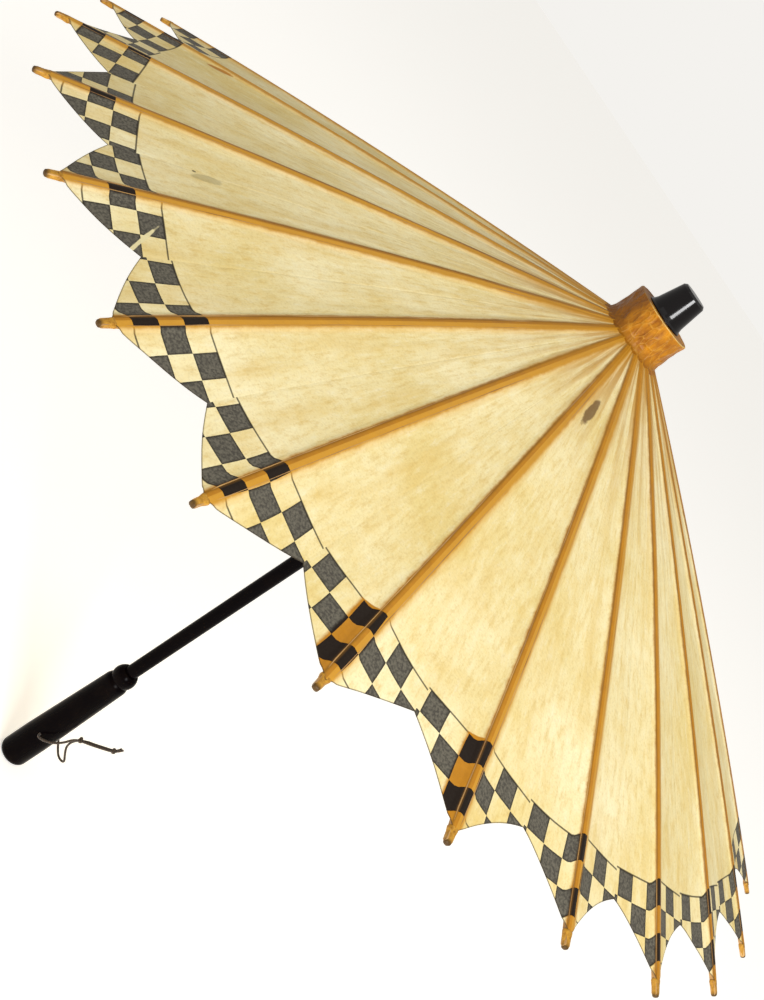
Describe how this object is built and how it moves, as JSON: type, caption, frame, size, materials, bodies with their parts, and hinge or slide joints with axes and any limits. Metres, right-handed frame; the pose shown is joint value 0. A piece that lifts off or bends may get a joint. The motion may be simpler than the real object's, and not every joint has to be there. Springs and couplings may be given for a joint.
{
  "type": "oil paper umbrella",
  "caption": "Small oil paper umbrella, open, with split bamboo ribs, a scalloped paper canopy with a checked border, and a black lacquered shaft and grip; it folds.",
  "frame": {"origin": "the centre of the handle's butt face, on the shaft's axis", "axes": "+Z runs along the shaft from the handle's butt to the ferrule; +X is the side of the catch's head and of the wrist cord; +Y completes the right-handed set. The umbrella is open at rest."},
  "size_m": [0.7564, 0.7564, 0.6206],
  "materials": {
    "lacquer": "black gloss lacquer over turned wood",
    "bamboo": "split bamboo, stained ochre and oiled",
    "turned_wood": "turned, unvarnished",
    "oiled_paper": "thin paper, oiled, with a painted check border",
    "cover_paper": "crumpled oiled paper, stained orange",
    "thread": "waxed thread",
    "steel": "dull steel strip and wire",
    "cord": "waxed twisted cord, dark brown"
  },
  "bodies": {
    "frame": {"shaft": "lacquer", "handle": "lacquer", "ferrule": "lacquer", "upper_hub": "turned_wood", "upper_hub_thread": "thread", "hub_cover": "cover_paper", "stop_pin": "steel", "canopy_paper": "oiled_paper", "wrist_cord": "cord"},
    "catch": {"catch_spring": "steel"},
    "rib_00": {"rib_00": "bamboo"},
    "stretcher_00": {"stretcher_00": "bamboo"},
    "rib_01": {"rib_01": "bamboo"},
    "stretcher_01": {"stretcher_01": "bamboo"},
    "rib_02": {"rib_02": "bamboo"},
    "stretcher_02": {"stretcher_02": "bamboo"},
    "rib_03": {"rib_03": "bamboo"},
    "stretcher_03": {"stretcher_03": "bamboo"},
    "rib_04": {"rib_04": "bamboo"},
    "stretcher_04": {"stretcher_04": "bamboo"},
    "rib_05": {"rib_05": "bamboo"},
    "stretcher_05": {"stretcher_05": "bamboo"},
    "rib_06": {"rib_06": "bamboo"},
    "stretcher_06": {"stretcher_06": "bamboo"},
    "rib_07": {"rib_07": "bamboo"},
    "stretcher_07": {"stretcher_07": "bamboo"},
    "rib_08": {"rib_08": "bamboo"},
    "stretcher_08": {"stretcher_08": "bamboo"},
    "rib_09": {"rib_09": "bamboo"},
    "stretcher_09": {"stretcher_09": "bamboo"},
    "rib_10": {"rib_10": "bamboo"},
    "stretcher_10": {"stretcher_10": "bamboo"},
    "rib_11": {"rib_11": "bamboo"},
    "stretcher_11": {"stretcher_11": "bamboo"},
    "rib_12": {"rib_12": "bamboo"},
    "stretcher_12": {"stretcher_12": "bamboo"},
    "rib_13": {"rib_13": "bamboo"},
    "stretcher_13": {"stretcher_13": "bamboo"},
    "rib_14": {"rib_14": "bamboo"},
    "stretcher_14": {"stretcher_14": "bamboo"},
    "rib_15": {"rib_15": "bamboo"},
    "stretcher_15": {"stretcher_15": "bamboo"},
    "rib_16": {"rib_16": "bamboo"},
    "stretcher_16": {"stretcher_16": "bamboo"},
    "rib_17": {"rib_17": "bamboo"},
    "stretcher_17": {"stretcher_17": "bamboo"},
    "rib_18": {"rib_18": "bamboo"},
    "stretcher_18": {"stretcher_18": "bamboo"},
    "rib_19": {"rib_19": "bamboo"},
    "stretcher_19": {"stretcher_19": "bamboo"},
    "rib_20": {"rib_20": "bamboo"},
    "stretcher_20": {"stretcher_20": "bamboo"},
    "rib_21": {"rib_21": "bamboo"},
    "stretcher_21": {"stretcher_21": "bamboo"},
    "rib_22": {"rib_22": "bamboo"},
    "stretcher_22": {"stretcher_22": "bamboo"},
    "rib_23": {"rib_23": "bamboo"},
    "stretcher_23": {"stretcher_23": "bamboo"},
    "runner": {"runner": "turned_wood", "runner_thread": "thread"}
  },
  "joints": [
    {"name": "rib_00_fold", "type": "hinge", "parent": "frame", "child": "rib_00", "pos_m": [0.01785, 0.00235, 0.573], "axis": [-0.1305, 0.9914, 0], "range_deg": [0, 63], "deforming": ["canopy_paper", "catch_spring"]},
    {"name": "stretcher_00_turn", "type": "hinge", "parent": "rib_00", "child": "stretcher_00", "pos_m": [0.1732, 0.0228, 0.50454], "axis": [-0.1305, 0.9914, 0], "range_deg": [-126, 0]},
    {"name": "rib_01_fold", "type": "hinge", "parent": "frame", "child": "rib_01", "pos_m": [0.01663, 0.00689, 0.573], "axis": [-0.3827, 0.9239, 0], "range_deg": [0, 63]},
    {"name": "stretcher_01_turn", "type": "hinge", "parent": "rib_01", "child": "stretcher_01", "pos_m": [0.1614, 0.06685, 0.50454], "axis": [-0.3827, 0.9239, 0], "range_deg": [-126, 0]},
    {"name": "rib_02_fold", "type": "hinge", "parent": "frame", "child": "rib_02", "pos_m": [0.01428, 0.01096, 0.573], "axis": [-0.6088, 0.7934, 0], "range_deg": [0, 63]},
    {"name": "stretcher_02_turn", "type": "hinge", "parent": "rib_02", "child": "stretcher_02", "pos_m": [0.1386, 0.10635, 0.50454], "axis": [-0.6088, 0.7934, 0], "range_deg": [-126, 0]},
    {"name": "rib_03_fold", "type": "hinge", "parent": "frame", "child": "rib_03", "pos_m": [0.01096, 0.01428, 0.573], "axis": [-0.7934, 0.6088, 0], "range_deg": [0, 63]},
    {"name": "stretcher_03_turn", "type": "hinge", "parent": "rib_03", "child": "stretcher_03", "pos_m": [0.10635, 0.1386, 0.50454], "axis": [-0.7934, 0.6088, 0], "range_deg": [-126, 0]},
    {"name": "rib_04_fold", "type": "hinge", "parent": "frame", "child": "rib_04", "pos_m": [0.00689, 0.01663, 0.573], "axis": [-0.9239, 0.3827, 0], "range_deg": [0, 63]},
    {"name": "stretcher_04_turn", "type": "hinge", "parent": "rib_04", "child": "stretcher_04", "pos_m": [0.06685, 0.1614, 0.50454], "axis": [-0.9239, 0.3827, 0], "range_deg": [-126, 0]},
    {"name": "rib_05_fold", "type": "hinge", "parent": "frame", "child": "rib_05", "pos_m": [0.00235, 0.01785, 0.573], "axis": [-0.9914, 0.1305, 0], "range_deg": [0, 63]},
    {"name": "stretcher_05_turn", "type": "hinge", "parent": "rib_05", "child": "stretcher_05", "pos_m": [0.0228, 0.1732, 0.50454], "axis": [-0.9914, 0.1305, 0], "range_deg": [-126, 0]},
    {"name": "rib_06_fold", "type": "hinge", "parent": "frame", "child": "rib_06", "pos_m": [-0.00235, 0.01785, 0.573], "axis": [-0.9914, -0.1305, 0], "range_deg": [0, 63]},
    {"name": "stretcher_06_turn", "type": "hinge", "parent": "rib_06", "child": "stretcher_06", "pos_m": [-0.0228, 0.1732, 0.50454], "axis": [-0.9914, -0.1305, 0], "range_deg": [-126, 0]},
    {"name": "rib_07_fold", "type": "hinge", "parent": "frame", "child": "rib_07", "pos_m": [-0.00689, 0.01663, 0.573], "axis": [-0.9239, -0.3827, 0], "range_deg": [0, 63]},
    {"name": "stretcher_07_turn", "type": "hinge", "parent": "rib_07", "child": "stretcher_07", "pos_m": [-0.06685, 0.1614, 0.50454], "axis": [-0.9239, -0.3827, 0], "range_deg": [-126, 0]},
    {"name": "rib_08_fold", "type": "hinge", "parent": "frame", "child": "rib_08", "pos_m": [-0.01096, 0.01428, 0.573], "axis": [-0.7934, -0.6088, 0], "range_deg": [0, 63]},
    {"name": "stretcher_08_turn", "type": "hinge", "parent": "rib_08", "child": "stretcher_08", "pos_m": [-0.10635, 0.1386, 0.50454], "axis": [-0.7934, -0.6088, 0], "range_deg": [-126, 0]},
    {"name": "rib_09_fold", "type": "hinge", "parent": "frame", "child": "rib_09", "pos_m": [-0.01428, 0.01096, 0.573], "axis": [-0.6088, -0.7934, 0], "range_deg": [0, 63]},
    {"name": "stretcher_09_turn", "type": "hinge", "parent": "rib_09", "child": "stretcher_09", "pos_m": [-0.1386, 0.10635, 0.50454], "axis": [-0.6088, -0.7934, 0], "range_deg": [-126, 0]},
    {"name": "rib_10_fold", "type": "hinge", "parent": "frame", "child": "rib_10", "pos_m": [-0.01663, 0.00689, 0.573], "axis": [-0.3827, -0.9239, 0], "range_deg": [0, 63]},
    {"name": "stretcher_10_turn", "type": "hinge", "parent": "rib_10", "child": "stretcher_10", "pos_m": [-0.1614, 0.06685, 0.50454], "axis": [-0.3827, -0.9239, 0], "range_deg": [-126, 0]},
    {"name": "rib_11_fold", "type": "hinge", "parent": "frame", "child": "rib_11", "pos_m": [-0.01785, 0.00235, 0.573], "axis": [-0.1305, -0.9914, 0], "range_deg": [0, 63]},
    {"name": "stretcher_11_turn", "type": "hinge", "parent": "rib_11", "child": "stretcher_11", "pos_m": [-0.1732, 0.0228, 0.50454], "axis": [-0.1305, -0.9914, 0], "range_deg": [-126, 0]},
    {"name": "rib_12_fold", "type": "hinge", "parent": "frame", "child": "rib_12", "pos_m": [-0.01785, -0.00235, 0.573], "axis": [0.1305, -0.9914, 0], "range_deg": [0, 63]},
    {"name": "stretcher_12_turn", "type": "hinge", "parent": "rib_12", "child": "stretcher_12", "pos_m": [-0.1732, -0.0228, 0.50454], "axis": [0.1305, -0.9914, 0], "range_deg": [-126, 0]},
    {"name": "rib_13_fold", "type": "hinge", "parent": "frame", "child": "rib_13", "pos_m": [-0.01663, -0.00689, 0.573], "axis": [0.3827, -0.9239, 0], "range_deg": [0, 63]},
    {"name": "stretcher_13_turn", "type": "hinge", "parent": "rib_13", "child": "stretcher_13", "pos_m": [-0.1614, -0.06685, 0.50454], "axis": [0.3827, -0.9239, 0], "range_deg": [-126, 0]},
    {"name": "rib_14_fold", "type": "hinge", "parent": "frame", "child": "rib_14", "pos_m": [-0.01428, -0.01096, 0.573], "axis": [0.6088, -0.7934, 0], "range_deg": [0, 63]},
    {"name": "stretcher_14_turn", "type": "hinge", "parent": "rib_14", "child": "stretcher_14", "pos_m": [-0.1386, -0.10635, 0.50454], "axis": [0.6088, -0.7934, 0], "range_deg": [-126, 0]},
    {"name": "rib_15_fold", "type": "hinge", "parent": "frame", "child": "rib_15", "pos_m": [-0.01096, -0.01428, 0.573], "axis": [0.7934, -0.6088, 0], "range_deg": [0, 63]},
    {"name": "stretcher_15_turn", "type": "hinge", "parent": "rib_15", "child": "stretcher_15", "pos_m": [-0.10635, -0.1386, 0.50454], "axis": [0.7934, -0.6088, 0], "range_deg": [-126, 0]},
    {"name": "rib_16_fold", "type": "hinge", "parent": "frame", "child": "rib_16", "pos_m": [-0.00689, -0.01663, 0.573], "axis": [0.9239, -0.3827, 0], "range_deg": [0, 63]},
    {"name": "stretcher_16_turn", "type": "hinge", "parent": "rib_16", "child": "stretcher_16", "pos_m": [-0.06685, -0.1614, 0.50454], "axis": [0.9239, -0.3827, 0], "range_deg": [-126, 0]},
    {"name": "rib_17_fold", "type": "hinge", "parent": "frame", "child": "rib_17", "pos_m": [-0.00235, -0.01785, 0.573], "axis": [0.9914, -0.1305, 0], "range_deg": [0, 63]},
    {"name": "stretcher_17_turn", "type": "hinge", "parent": "rib_17", "child": "stretcher_17", "pos_m": [-0.0228, -0.1732, 0.50454], "axis": [0.9914, -0.1305, 0], "range_deg": [-126, 0]},
    {"name": "rib_18_fold", "type": "hinge", "parent": "frame", "child": "rib_18", "pos_m": [0.00235, -0.01785, 0.573], "axis": [0.9914, 0.1305, 0], "range_deg": [0, 63]},
    {"name": "stretcher_18_turn", "type": "hinge", "parent": "rib_18", "child": "stretcher_18", "pos_m": [0.0228, -0.1732, 0.50454], "axis": [0.9914, 0.1305, 0], "range_deg": [-126, 0]},
    {"name": "rib_19_fold", "type": "hinge", "parent": "frame", "child": "rib_19", "pos_m": [0.00689, -0.01663, 0.573], "axis": [0.9239, 0.3827, 0], "range_deg": [0, 63]},
    {"name": "stretcher_19_turn", "type": "hinge", "parent": "rib_19", "child": "stretcher_19", "pos_m": [0.06685, -0.1614, 0.50454], "axis": [0.9239, 0.3827, 0], "range_deg": [-126, 0]},
    {"name": "rib_20_fold", "type": "hinge", "parent": "frame", "child": "rib_20", "pos_m": [0.01096, -0.01428, 0.573], "axis": [0.7934, 0.6088, 0], "range_deg": [0, 63]},
    {"name": "stretcher_20_turn", "type": "hinge", "parent": "rib_20", "child": "stretcher_20", "pos_m": [0.10635, -0.1386, 0.50454], "axis": [0.7934, 0.6088, 0], "range_deg": [-126, 0]},
    {"name": "rib_21_fold", "type": "hinge", "parent": "frame", "child": "rib_21", "pos_m": [0.01428, -0.01096, 0.573], "axis": [0.6088, 0.7934, 0], "range_deg": [0, 63]},
    {"name": "stretcher_21_turn", "type": "hinge", "parent": "rib_21", "child": "stretcher_21", "pos_m": [0.1386, -0.10635, 0.50454], "axis": [0.6088, 0.7934, 0], "range_deg": [-126, 0]},
    {"name": "rib_22_fold", "type": "hinge", "parent": "frame", "child": "rib_22", "pos_m": [0.01663, -0.00689, 0.573], "axis": [0.3827, 0.9239, 0], "range_deg": [0, 63]},
    {"name": "stretcher_22_turn", "type": "hinge", "parent": "rib_22", "child": "stretcher_22", "pos_m": [0.1614, -0.06685, 0.50454], "axis": [0.3827, 0.9239, 0], "range_deg": [-126, 0]},
    {"name": "rib_23_fold", "type": "hinge", "parent": "frame", "child": "rib_23", "pos_m": [0.01785, -0.00235, 0.573], "axis": [0.1305, 0.9914, 0], "range_deg": [0, 63]},
    {"name": "stretcher_23_turn", "type": "hinge", "parent": "rib_23", "child": "stretcher_23", "pos_m": [0.1732, -0.0228, 0.50454], "axis": [0.1305, 0.9914, 0], "range_deg": [-126, 0]},
    {"name": "runner_travel", "type": "hinge", "parent": "stretcher_00", "child": "runner", "pos_m": [0.01785, 0.00235, 0.43608], "axis": [-0.1305, 0.9914, 0], "range_deg": [0, 63]},
    {"name": "catch_press", "type": "hinge", "parent": "frame", "child": "catch", "pos_m": [0.0045, 0, 0.35578], "axis": [0, -1, 0], "range_deg": [0, 4.5], "stiffness_Nm_per_rad": 0.8, "springref_deg": -1.15}
  ],
  "couplings": [
    {"joint": "stretcher_00_turn", "follows": "rib_00_fold", "ratio": -2},
    {"joint": "rib_01_fold", "follows": "rib_00_fold", "ratio": 1},
    {"joint": "stretcher_01_turn", "follows": "rib_00_fold", "ratio": -2},
    {"joint": "rib_02_fold", "follows": "rib_00_fold", "ratio": 1},
    {"joint": "stretcher_02_turn", "follows": "rib_00_fold", "ratio": -2},
    {"joint": "rib_03_fold", "follows": "rib_00_fold", "ratio": 1},
    {"joint": "stretcher_03_turn", "follows": "rib_00_fold", "ratio": -2},
    {"joint": "rib_04_fold", "follows": "rib_00_fold", "ratio": 1},
    {"joint": "stretcher_04_turn", "follows": "rib_00_fold", "ratio": -2},
    {"joint": "rib_05_fold", "follows": "rib_00_fold", "ratio": 1},
    {"joint": "stretcher_05_turn", "follows": "rib_00_fold", "ratio": -2},
    {"joint": "rib_06_fold", "follows": "rib_00_fold", "ratio": 1},
    {"joint": "stretcher_06_turn", "follows": "rib_00_fold", "ratio": -2},
    {"joint": "rib_07_fold", "follows": "rib_00_fold", "ratio": 1},
    {"joint": "stretcher_07_turn", "follows": "rib_00_fold", "ratio": -2},
    {"joint": "rib_08_fold", "follows": "rib_00_fold", "ratio": 1},
    {"joint": "stretcher_08_turn", "follows": "rib_00_fold", "ratio": -2},
    {"joint": "rib_09_fold", "follows": "rib_00_fold", "ratio": 1},
    {"joint": "stretcher_09_turn", "follows": "rib_00_fold", "ratio": -2},
    {"joint": "rib_10_fold", "follows": "rib_00_fold", "ratio": 1},
    {"joint": "stretcher_10_turn", "follows": "rib_00_fold", "ratio": -2},
    {"joint": "rib_11_fold", "follows": "rib_00_fold", "ratio": 1},
    {"joint": "stretcher_11_turn", "follows": "rib_00_fold", "ratio": -2},
    {"joint": "rib_12_fold", "follows": "rib_00_fold", "ratio": 1},
    {"joint": "stretcher_12_turn", "follows": "rib_00_fold", "ratio": -2},
    {"joint": "rib_13_fold", "follows": "rib_00_fold", "ratio": 1},
    {"joint": "stretcher_13_turn", "follows": "rib_00_fold", "ratio": -2},
    {"joint": "rib_14_fold", "follows": "rib_00_fold", "ratio": 1},
    {"joint": "stretcher_14_turn", "follows": "rib_00_fold", "ratio": -2},
    {"joint": "rib_15_fold", "follows": "rib_00_fold", "ratio": 1},
    {"joint": "stretcher_15_turn", "follows": "rib_00_fold", "ratio": -2},
    {"joint": "rib_16_fold", "follows": "rib_00_fold", "ratio": 1},
    {"joint": "stretcher_16_turn", "follows": "rib_00_fold", "ratio": -2},
    {"joint": "rib_17_fold", "follows": "rib_00_fold", "ratio": 1},
    {"joint": "stretcher_17_turn", "follows": "rib_00_fold", "ratio": -2},
    {"joint": "rib_18_fold", "follows": "rib_00_fold", "ratio": 1},
    {"joint": "stretcher_18_turn", "follows": "rib_00_fold", "ratio": -2},
    {"joint": "rib_19_fold", "follows": "rib_00_fold", "ratio": 1},
    {"joint": "stretcher_19_turn", "follows": "rib_00_fold", "ratio": -2},
    {"joint": "rib_20_fold", "follows": "rib_00_fold", "ratio": 1},
    {"joint": "stretcher_20_turn", "follows": "rib_00_fold", "ratio": -2},
    {"joint": "rib_21_fold", "follows": "rib_00_fold", "ratio": 1},
    {"joint": "stretcher_21_turn", "follows": "rib_00_fold", "ratio": -2},
    {"joint": "rib_22_fold", "follows": "rib_00_fold", "ratio": 1},
    {"joint": "stretcher_22_turn", "follows": "rib_00_fold", "ratio": -2},
    {"joint": "rib_23_fold", "follows": "rib_00_fold", "ratio": 1},
    {"joint": "stretcher_23_turn", "follows": "rib_00_fold", "ratio": -2},
    {"joint": "runner_travel", "follows": "rib_00_fold", "ratio": 1}
  ]
}
